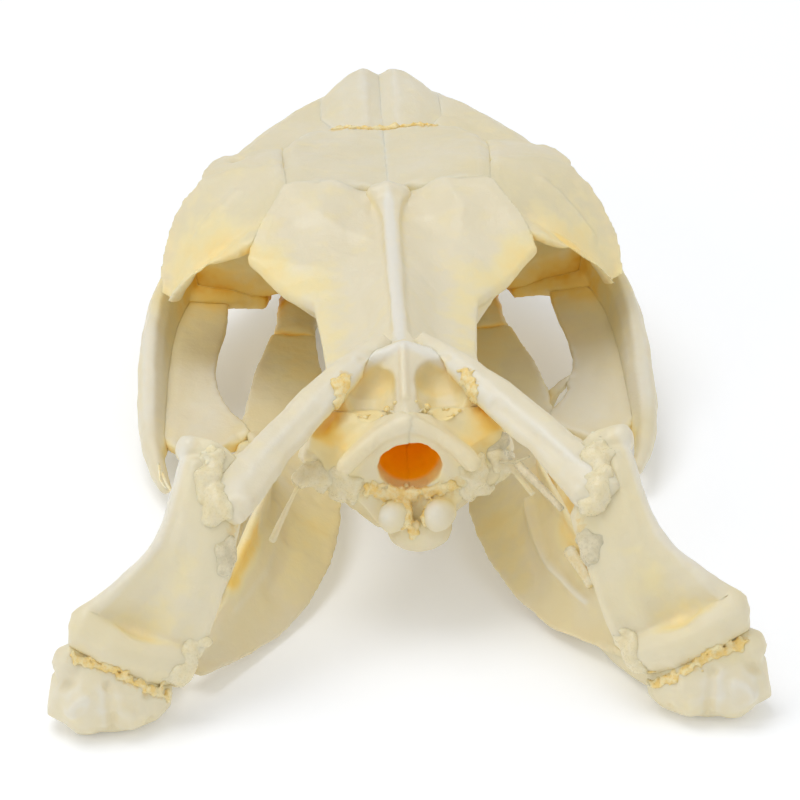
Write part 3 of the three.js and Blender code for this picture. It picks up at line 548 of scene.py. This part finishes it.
def bone_material(name, base):
    """Dry bone: ivory with painted shade, warm amber, in its hollows, amber stains in its sutures, bluish
    white ridges that are partly painted highlight, painted orange glow in the braincase, and fine pores.
    """
    material, tree = new_material(name)
    place = tree.nodes.new("ShaderNodeTexCoord").outputs["Object"]
    stains_and_shade = tree.nodes.new("ShaderNodeAttribute")
    stains_and_shade.attribute_name = "stains_and_shade"
    channels = tree.nodes.new("ShaderNodeSeparateColor")
    tree.links.new(stains_and_shade.outputs["Color"], channels.inputs[0])
    hollow, crust, pale = channels.outputs
    painted_glow = stains_and_shade.outputs["Alpha"]

    broad = noise(tree, place, 90, 2)
    patches = noise(tree, place, 330, 2, 0.6)
    fine = noise(tree, place, 1600, 2, 0.65)
    colour = mix_colours(tree, map_range(tree, broad, 0.35, 0.7, 0, 0.6), base, PALE)
    colour = mix_colours(tree, map_range(tree, patches, 0.5, 0.75, 0, 0.4), colour, CREAM)

    # Painted shade: how enclosed each place is, with a little noise, turns the bone cream, warm yellow and
    # amber in its hollows.
    shade_depth = math_node(tree, "ADD", hollow, map_range(tree, patches, 0.25, 0.7, -0.09, 0.09))
    colour = mix_colours(tree, map_range(tree, shade_depth, 0.10, 0.42), colour, CREAM)
    colour = mix_colours(tree, map_range(tree, shade_depth, 0.30, 0.62, 0, 0.9), colour, WARM_SHADE)
    colour = mix_colours(tree, map_range(tree, shade_depth, 0.52, 0.86), colour, AMBER)
    colour = mix_colours(tree, map_range(tree, shade_depth, 0.84, 1.05), colour, DEEP_AMBER_SHADE)

    # Bluish white, partly the bone's paler tone and partly painted highlight on ridges and lit faces.
    colour = mix_colours(tree, map_range(tree, pale, 0.15, 0.85, 0, 0.85), colour, BLUISH)
    crusty = math_node(tree, "ADD", crust, map_range(tree, fine, 0.3, 0.7, -0.3, 0.22))
    colour = mix_colours(tree, map_range(tree, crusty, 0.3, 0.8, 0, 0.75), colour, SUTURE)
    colour = mix_colours(tree, map_range(tree, crusty, 0.8, 1.15, 0, 0.7), colour, AMBER)
    # Painted glow of light through the braincase's thin walls.
    colour = mix_colours(tree, painted_glow, colour, ORANGE)

    speck_share = map_range(tree, cells(tree, place, 150), 0.022, 0.045, 0.85, 0)
    rare = map_range(tree, noise(tree, place, 75, 1), 0.60, 0.64)
    colour = mix_colours(tree, math_node(tree, "MULTIPLY", speck_share, rare), colour, DARK_SPECK)

    roughness = map_range(tree, patches, 0.3, 0.7, 0.34, 0.50)
    glow = map_range(tree, painted_glow, 0.0, 1.0, 0.0, BRAINCASE_GLOW)
    finish_material(tree, colour, roughness, fine, 0.22, 0.3, 0.45, glow)
    return material


def tissue_material(name, low, high):
    """Dried tissue or cartilage: glossy, uneven and slightly clear."""
    material, tree = new_material(name)
    place = tree.nodes.new("ShaderNodeTexCoord").outputs["Object"]
    patches = noise(tree, place, 900, 3, 0.6)
    fine = noise(tree, place, 3500, 2)
    colour = mix_colours(tree, map_range(tree, patches, 0.35, 0.65), low, high)
    finish_material(tree, colour, map_range(tree, fine, 0.3, 0.7, 0.22, 0.45), fine, 0.3, 0.35, 0.5)
    return material


# Bones
LUMPS = ((0.2, 9, 0), (0.11, 4, 30), (0.05, 1.9, 60), (0.03, 0.9, 90))  # height and grain in mm, and seed
HOLLOW_SHADE_GAIN = 1.15  # how strongly painted shade tints a hollow
SUTURE_STAIN = 0.45
# how strongly convex ridges are whitened, as painted highlight
RIDGE_HIGHLIGHT = 0.25
RIDGE_HEIGHT = 0.03 * MM  # a vertex this far above its neighbours is on a full ridge
FORAMEN_RADIUS = 4.0 * MM  # where the painted orange glow inside the braincase ends
EAR_RADIUS = 0.75 * MM
ORANGE_EDGE = 0.5 * MM  # width of the painted glow's soft edge
TIP_REACH = 2.2 * MM  # a tooth's tip keeps its shape this far down


def smoothing_strength(name, node, points, gap):
    """How freely each vertex may be evened out: least beside another bone and at a tooth's tip."""
    least = 0.5 if name.startswith("supratemporal") else 0.05
    strength = np.clip((gap - 0.2 * MM) / (1.0 * MM), least, 1)
    for tip in sharp_tips(node.data):
        away = np.linalg.norm(points - np.array(tip), axis=1)
        strength = np.minimum(strength, np.clip((away - TIP_REACH) / (1.5 * MM), 0.06, 1))
    return strength


def carved_points(name, seed, points, normals, strength, gap, neighbour, marks):
    """Bone with its lumps and marks, drawn up to its neighbours in the sutures."""
    lumps = np.zeros(len(points))
    for height, grain, offset in LUMPS:
        lumps = lumps + height * ripples(points, grain * MM, seed + offset)
    lift = (lumps * strength + sum_of_marks(points, name, marks)) * MM
    closing = np.clip((CLOSING_END - gap) / (CLOSING_END - CLOSING_START), 0, 1)
    drawn = CLOSING_SHARE * closing[:, None] * (neighbour - points)
    corners = [np.array(corner) for corner in cad_bounds]
    return np.clip(points + drawn + lift[:, None] * normals, *corners)


def paint_stains_and_shade(name, mesh, hollow, gap, edges, degree, stains_and_shade):
    points = vertex_array(mesh)
    # Convex ridges, whitened below as painted highlight
    bulge = points - neighbour_mean(neighbour_mean(points, edges, degree), edges, degree)
    ridge = evened((bulge * normal_array(mesh)).sum(axis=1) / RIDGE_HEIGHT, edges, degree, 4)
    # The first marks are painted shade in recesses; the third are paler bone with painted highlight.
    amber, crust, pale = (sum_of_marks(points, name, marks) for marks in stains_and_shade)
    suture = np.clip(1 - gap / SUTURE_REACH, 0, 1)
    # Painted glow in the foramen and the ear opening
    painted_glow = np.clip((FORAMEN_RADIUS - path_distance(points, FORAMEN)) / ORANGE_EDGE, 0, 1)
    painted_glow = painted_glow + np.clip((EAR_RADIUS - path_distance(points, EAR_OPENING)) / ORANGE_EDGE, 0, 1)
    store_stains_and_shade(
        mesh,
        HOLLOW_SHADE_GAIN * hollow + amber,
        SUTURE_STAIN * suture + crust,
        pale + RIDGE_HIGHLIGHT * np.clip(ridge, 0, 1) * np.clip(1 - 2 * hollow, 0, 1),
        painted_glow,
    )


def refine_bones():
    """A fine, carved copy of each CAD node, closed up to its neighbours, stained in its seams and given
    painted shade in its hollows.
    """
    nodes = frame["nodes"]
    slots = {entry["node"]: entry["material_slot"] for entry in frame["record"]["subparts"]}
    materials = {name: bone_material(name, colour) for name, colour in BASE_COLOURS.items()}
    everything = tree_of([node.data for node in nodes.values()])
    carved = carving()
    stains_and_shade = [painted_shade_marks(), crust_stains(), pale_and_highlight_marks()]
    pieces = []
    for seed, (name, node) in enumerate(sorted(nodes.items())):
        mesh = remeshed(node.data, THIN_VOXEL if name.startswith("columella") else VOXEL)
        mesh.name = "bone_" + name
        points = vertex_array(mesh)
        edges = edge_array(mesh)
        degree = np.maximum(1, np.bincount(edges.ravel(), minlength=len(points)))
        others = tree_of([other.data for key, other in nodes.items() if key != name])
        neighbour, gap = nearest_in(points, others, 2.2 * MM)

        strength = smoothing_strength(name, node, points, gap)
        points = smoothed(points, edges, degree, strength, SMOOTHING_ROUNDS)
        write_vertices(mesh, points)
        normals = normal_array(mesh)
        # How enclosed each place is, later painted as shade into its colour
        hollow = evened(hollow_shares(points, normals, everything), edges, degree, HOLLOW_ROUNDS)
        points = carved_points(name, seed, points, normals, strength, gap, neighbour, carved)
        write_vertices(mesh, points)
        paint_stains_and_shade(name, mesh, hollow, gap, edges, degree, stains_and_shade)

        mesh.polygons.foreach_set("use_smooth", np.ones(len(mesh.polygons), dtype=bool))
        mesh.materials.clear()
        mesh.materials.append(materials[slots[name]])
        piece = link("bone_" + name, mesh)
        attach(piece, "root")
        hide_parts(name)
        pieces.append(piece)
    return pieces


# Dried tissue and fibres
def grain_corners():
    """Twelve corners spread evenly over a ball."""
    golden = (1 + math.sqrt(5)) / 2
    corners = []
    for a, b in ((-1, golden), (1, golden), (-1, -golden), (1, -golden)):
        corners += [(a, b, 0), (0, a, b), (b, 0, a)]
    return np.array(corners) / math.hypot(1, golden)


def add_crust(
    name, surface, paths, material, count, spread, sizes, seed, rise=0.1, rounds=CRUMB_ROUNDS
):
    """Irregular grains that sit on the bones along paths, melted into one crumbly piece.

    spread and sizes are in millimetres, and rise is how far a grain stands out, as a share of its size.
    """
    random = np.random.default_rng(seed)
    shape = grain_corners()
    mesh = bpy.data.meshes.new(name)
    builder = bmesh.new()
    for path in paths:
        corners = np.array(path)
        for _ in range(count):
            leg = random.integers(max(1, len(corners) - 1))
            end = min(leg + 1, len(corners) - 1)
            middle = corners[leg] + random.random() * (corners[end] - corners[leg])
            place = (middle + random.normal(scale=spread, size=3)) * MM
            found, normal, _, _ = surface.find_nearest(Vector(place))
            size = random.uniform(*sizes) * MM
            stretch = random.uniform(0.55, 1.35, size=3)
            centre = np.array(found) + (rise * size) * np.array(normal)
            angle = random.uniform(0, 6.28)
            turned = shape @ np.array(Matrix.Rotation(angle, 3, Vector(random.normal(size=3))))
            rough = 1 + random.uniform(-0.2, 0.25, size=(len(shape), 1))
            grain = [builder.verts.new(p) for p in centre + turned * rough * stretch * size]
            bmesh.ops.convex_hull(builder, input=grain)
    builder.to_mesh(mesh)
    builder.free()
    return finish_tissue(name, mesh, material, rounds)


def finish_tissue(name, mesh, material, rounds):
    fine = remeshed(mesh, TISSUE_VOXEL)
    fine.name = name
    points = vertex_array(fine)
    edges = edge_array(fine)
    degree = np.maximum(1, np.bincount(edges.ravel(), minlength=len(points)))
    points = evened(points, edges, degree, rounds)
    write_vertices(fine, np.clip(points, *[np.array(corner) for corner in cad_bounds]))
    fine.polygons.foreach_set("use_smooth", np.ones(len(fine.polygons), dtype=bool))
    fine.materials.clear()
    fine.materials.append(material)
    piece = link(name, fine)
    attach(piece, "root")
    return piece


def add_strands(name, strands, material):
    """Thin tapered rods through a few places. Each strand is its places and its start and end radius."""
    sides = 8
    steps = 10
    builder = bmesh.new()
    for places, start_radius, end_radius in strands:
        rings = []
        corners = [Vector(p) * MM for p in places]
        for step in range(steps + 1):
            at = step / steps * (len(corners) - 1)
            leg = min(int(at), len(corners) - 2)
            middle = corners[leg].lerp(corners[leg + 1], at - leg)
            along = (corners[leg + 1] - corners[leg]).normalized()
            across = along.orthogonal().normalized()
            radius = (start_radius + (end_radius - start_radius) * step / steps) * MM
            ring = []
            for side in range(sides):
                turn = Matrix.Rotation(2 * math.pi * side / sides, 3, along)
                ring.append(builder.verts.new(middle + radius * (turn @ across)))
            rings.append(ring)
        for ring, following in zip(rings, rings[1:]):
            for side in range(sides):
                other = (side + 1) % sides
                builder.faces.new((ring[side], ring[other], following[other], following[side]))
        builder.faces.new(reversed(rings[0]))
        builder.faces.new(rings[-1])
    mesh = bpy.data.meshes.new(name)
    builder.to_mesh(mesh)
    builder.free()
    mesh.polygons.foreach_set("use_smooth", np.ones(len(mesh.polygons), dtype=bool))
    mesh.materials.append(material)
    piece = link(name, mesh)
    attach(piece, "root")
    return piece


def mirrored(path, middle=0):
    return [(2 * middle - x, y, z) for x, y, z in path]


def add_tissue(bones):
    """What the cleaning left on this skull: crumbs of tissue in the seams, cartilage and a few fibres."""
    surface = tree_of([bone.data for bone in bones])
    amber = tissue_material("dried_tissue", (0.84, 0.60, 0.20), (0.85, 0.73, 0.42))
    pale = tissue_material("pale_tissue", (0.86, 0.74, 0.45), (0.86, 0.80, 0.60))
    soft = tissue_material("bone_like_tissue", (0.78, 0.68, 0.42), (0.78, 0.70, 0.48))
    cartilage = tissue_material("dried_cartilage", CARTILAGE, (0.72, 0.64, 0.44))
    add_crust("nasal_seam_tissue", surface, [NASAL_SUTURE], amber, 90, 0.3, (0.2, 0.5), 3)
    seams = [BAR_SEAM, mirrored(BAR_SEAM, SKULL_MIDDLE)]
    add_crust("bar_seam_tissue", surface, seams, amber, 90, 0.4, (0.14, 0.4), 4)
    below = [BELOW_FORAMEN, BETWEEN_CONDYLES]
    add_crust("condyle_tissue", surface, below, amber, 160, 0.4, (0.2, 0.5), 5, -0.1)
    sides = [[(-6.4, -36.2, 19.5), (-6.6, -36, 16.4)], [(8.0, -36.4, 20), (7.8, -36, 16.6)]]
    add_crust("occiput_side_tissue", surface, sides, soft, 90, 0.7, (0.4, 0.9), 6, -0.2, MELT_ROUNDS)
    ears = [[(-8.8, -34.8, 19.2), (-10.4, -34.6, 17.8)], [(10.2, -34.2, 19.6), (11.6, -34, 18.4)]]
    add_crust("ear_lumps", surface, ears, soft, 40, 0.6, (0.7, 1.3), 12, -0.3, MELT_ROUNDS)
    apex = [[(0.6, -35.3, 26.5), (0.7, -35.8, 25.6)]]
    add_crust("chevron_cartilage", surface, apex, cartilage, 24, 0.2, (0.15, 0.35), 13, -0.3)
    joints = [FOOT_JOINT, mirrored(FOOT_JOINT)]
    add_crust("jaw_joint_tissue", surface, joints, amber, 260, 0.35, (0.12, 0.36), 7)
    heads = [QUADRATE_HEAD_LINE, mirrored(QUADRATE_HEAD_LINE)]
    add_crust("quadrate_head_tissue", surface, heads, pale, 130, 0.35, (0.12, 0.38), 8)
    bar_ends = [[(20.4, -43, 25.8), (20.8, -46, 24.2), (20.2, -48.6, 21.8)]]
    bar_ends.append(mirrored(bar_ends[0]))
    add_crust("bar_end_melt", surface, bar_ends, soft, 60, 0.4, (0.7, 1.3), 15, -0.4, MELT_ROUNDS)
    inner = [[(19.2, -49.4, 18.4), (19.4, -50, 16.6)]]
    inner.append(mirrored(inner[0]))
    add_crust("quadrate_cartilage", surface, inner, cartilage, 60, 0.6, (0.5, 0.9), 9, -0.4, MELT_ROUNDS)
    ear = [[(11.2, -34.4, 20.6), (11.6, -35, 21.6)]]
    add_crust("ear_cartilage", surface, ear, cartilage, 60, 0.6, (0.4, 0.8), 10, -0.3, MELT_ROUNDS)
    lower = [[(23.4, -53.4, 8.6), (24.4, -55, 5.2)]]
    lower.append(mirrored(lower[0]))
    add_crust("jaw_corner_tissue", surface, lower, soft, 100, 0.7, (0.4, 0.9), 11, -0.2, MELT_ROUNDS)
    recess = [[(-3.6, -33.2, 27.2), (-1.6, -33.8, 27)], [(2.4, -33.8, 27), (5.6, -33.4, 26.8)]]
    add_crust("recess_tissue", surface, recess, amber, 50, 0.3, (0.15, 0.35), 14)
    add_strands("ear_fibres", [
        ([(10.4, -35.6, 20.4), (12.2, -36.4, 20.8), (13.8, -37.0, 21.8)], 0.2, 0.14),
        ([(12.5, -38.4, 21.6), (14.6, -41.4, 20.6), (16.8, -44.8, 19.6)], 0.5, 0.35),
    ], cartilage)
    jaw_strips = [([(x * side, y, z) for x, y, z in JAW_STRIP], 0.8, 0.45) for side in (1, -1)]
    add_strands("jaw_strips", jaw_strips, pale)
    add_strands("cheek_fibres", [
        ([(-26.9, -7.4, 4.2), (-26.2, -10.4, 4.0), (-25.0, -13.6, 3.8)], 0.22, 0.08),
        ([(-27.2, -7.0, 5.0), (-27.0, -10.2, 4.6), (-26.3, -12.4, 4.7)], 0.18, 0.07),
    ], pale)


# Floor, light and camera
def floor_material():
    material, tree = new_material("white_floor")
    place = tree.nodes.new("ShaderNodeTexCoord").outputs["Object"]
    grain = noise(tree, place, 60, 3)
    shader = tree.nodes.new("ShaderNodeBsdfPrincipled")
    set_input(tree, shader, "Base Color", mix_colours(tree, grain, (0.91, 0.93, 0.97), (0.93, 0.95, 0.98)))
    set_input(tree, shader, "Roughness", 0.7)
    set_input(tree, shader, "Emission Color", (1.0, 1.0, 1.0))
    set_input(tree, shader, "Emission Strength", 0.15)
    output = tree.nodes.new("ShaderNodeOutputMaterial")
    tree.links.new(shader.outputs[0], output.inputs[0])
    return material


FLOOR_HALF = 3.0
FLOOR_DROP = 0.02 * MM  # keeps the floor just clear of the feet


def add_floor():
    half = FLOOR_HALF
    mesh = bpy.data.meshes.new("floor")
    corners = [(-half, -half, 0), (half, -half, 0), (half, half, 0), (-half, half, 0)]
    mesh.from_pydata(corners, [], [(0, 1, 2, 3)])
    mesh.materials.append(floor_material())
    floor = link("floor", mesh)
    floor.location.z = -FLOOR_DROP


LIGHT_AIM = Vector((0, 0, 0.015))  # the middle of the skull


def add_light(name, place, size, power):
    lamp = bpy.data.lights.new(name, "AREA")
    lamp.shape = "RECTANGLE"
    lamp.size = size
    lamp.size_y = size
    lamp.energy = power
    light = link(name, lamp)
    light.location = place
    light.rotation_euler = (LIGHT_AIM - Vector(place)).to_track_quat("-Z", "Y").to_euler()


def add_studio():
    add_floor()
    add_light("overhead_softbox", (-0.2, 0.0, 0.75), 0.45, 2.0)
    add_light("left_softbox", (-0.6, -0.45, 0.4), 0.4, 0.6)
    add_light("right_fill", (0.75, -0.2, 0.3), 0.5, 0.4)
    world = bpy.data.worlds.new("studio")
    world.use_nodes = True
    world.node_tree.nodes["Background"].inputs[0].default_value = (1, 1, 1, 1)
    world.node_tree.nodes["Background"].inputs[1].default_value = 0.62
    bpy.context.scene.world = world
    bpy.context.scene.view_settings.view_transform = "Standard"
    bpy.context.scene.view_settings.look = "None"
    bpy.context.scene.view_settings.exposure = 0.0


CAMERA_ELEVATION = math.radians(28.658)
CAMERA_YAW = math.radians(2.202)
CAMERA_ROLL = math.radians(0.239)
CAMERA_OFFSET = Vector((0.383, 500.226, -25.729)) * MM  # the skull's condyle, on the floor, from the camera
CAMERA_LENS = 202.78  # for a sensor 36 mm wide
ORIGIN_SHIFT = Vector((0, -37.35, 0)) * MM  # from the condyle's place to the middle of the part's box


def add_camera():
    """The photo's camera, behind the skull, above it and a little to its left."""
    turn = (
        Matrix.Rotation(-CAMERA_ROLL, 3, "Y")
        @ Matrix.Rotation(CAMERA_ELEVATION, 3, "X")
        @ Matrix.Rotation(CAMERA_YAW, 3, "Z")
    )
    right, forward, up = turn
    axes = Matrix((right, up, -forward)).transposed().to_4x4()
    place = ORIGIN_SHIFT - turn.transposed() @ CAMERA_OFFSET
    data = bpy.data.cameras.new("camera")
    data.lens = CAMERA_LENS
    data.sensor_width = 36
    data.clip_start = 0.01
    camera = link("camera", data)
    camera.matrix_world = Matrix.Translation(place) @ axes
    bpy.context.scene.camera = camera


add_tissue(refine_bones())
add_studio()
add_camera()
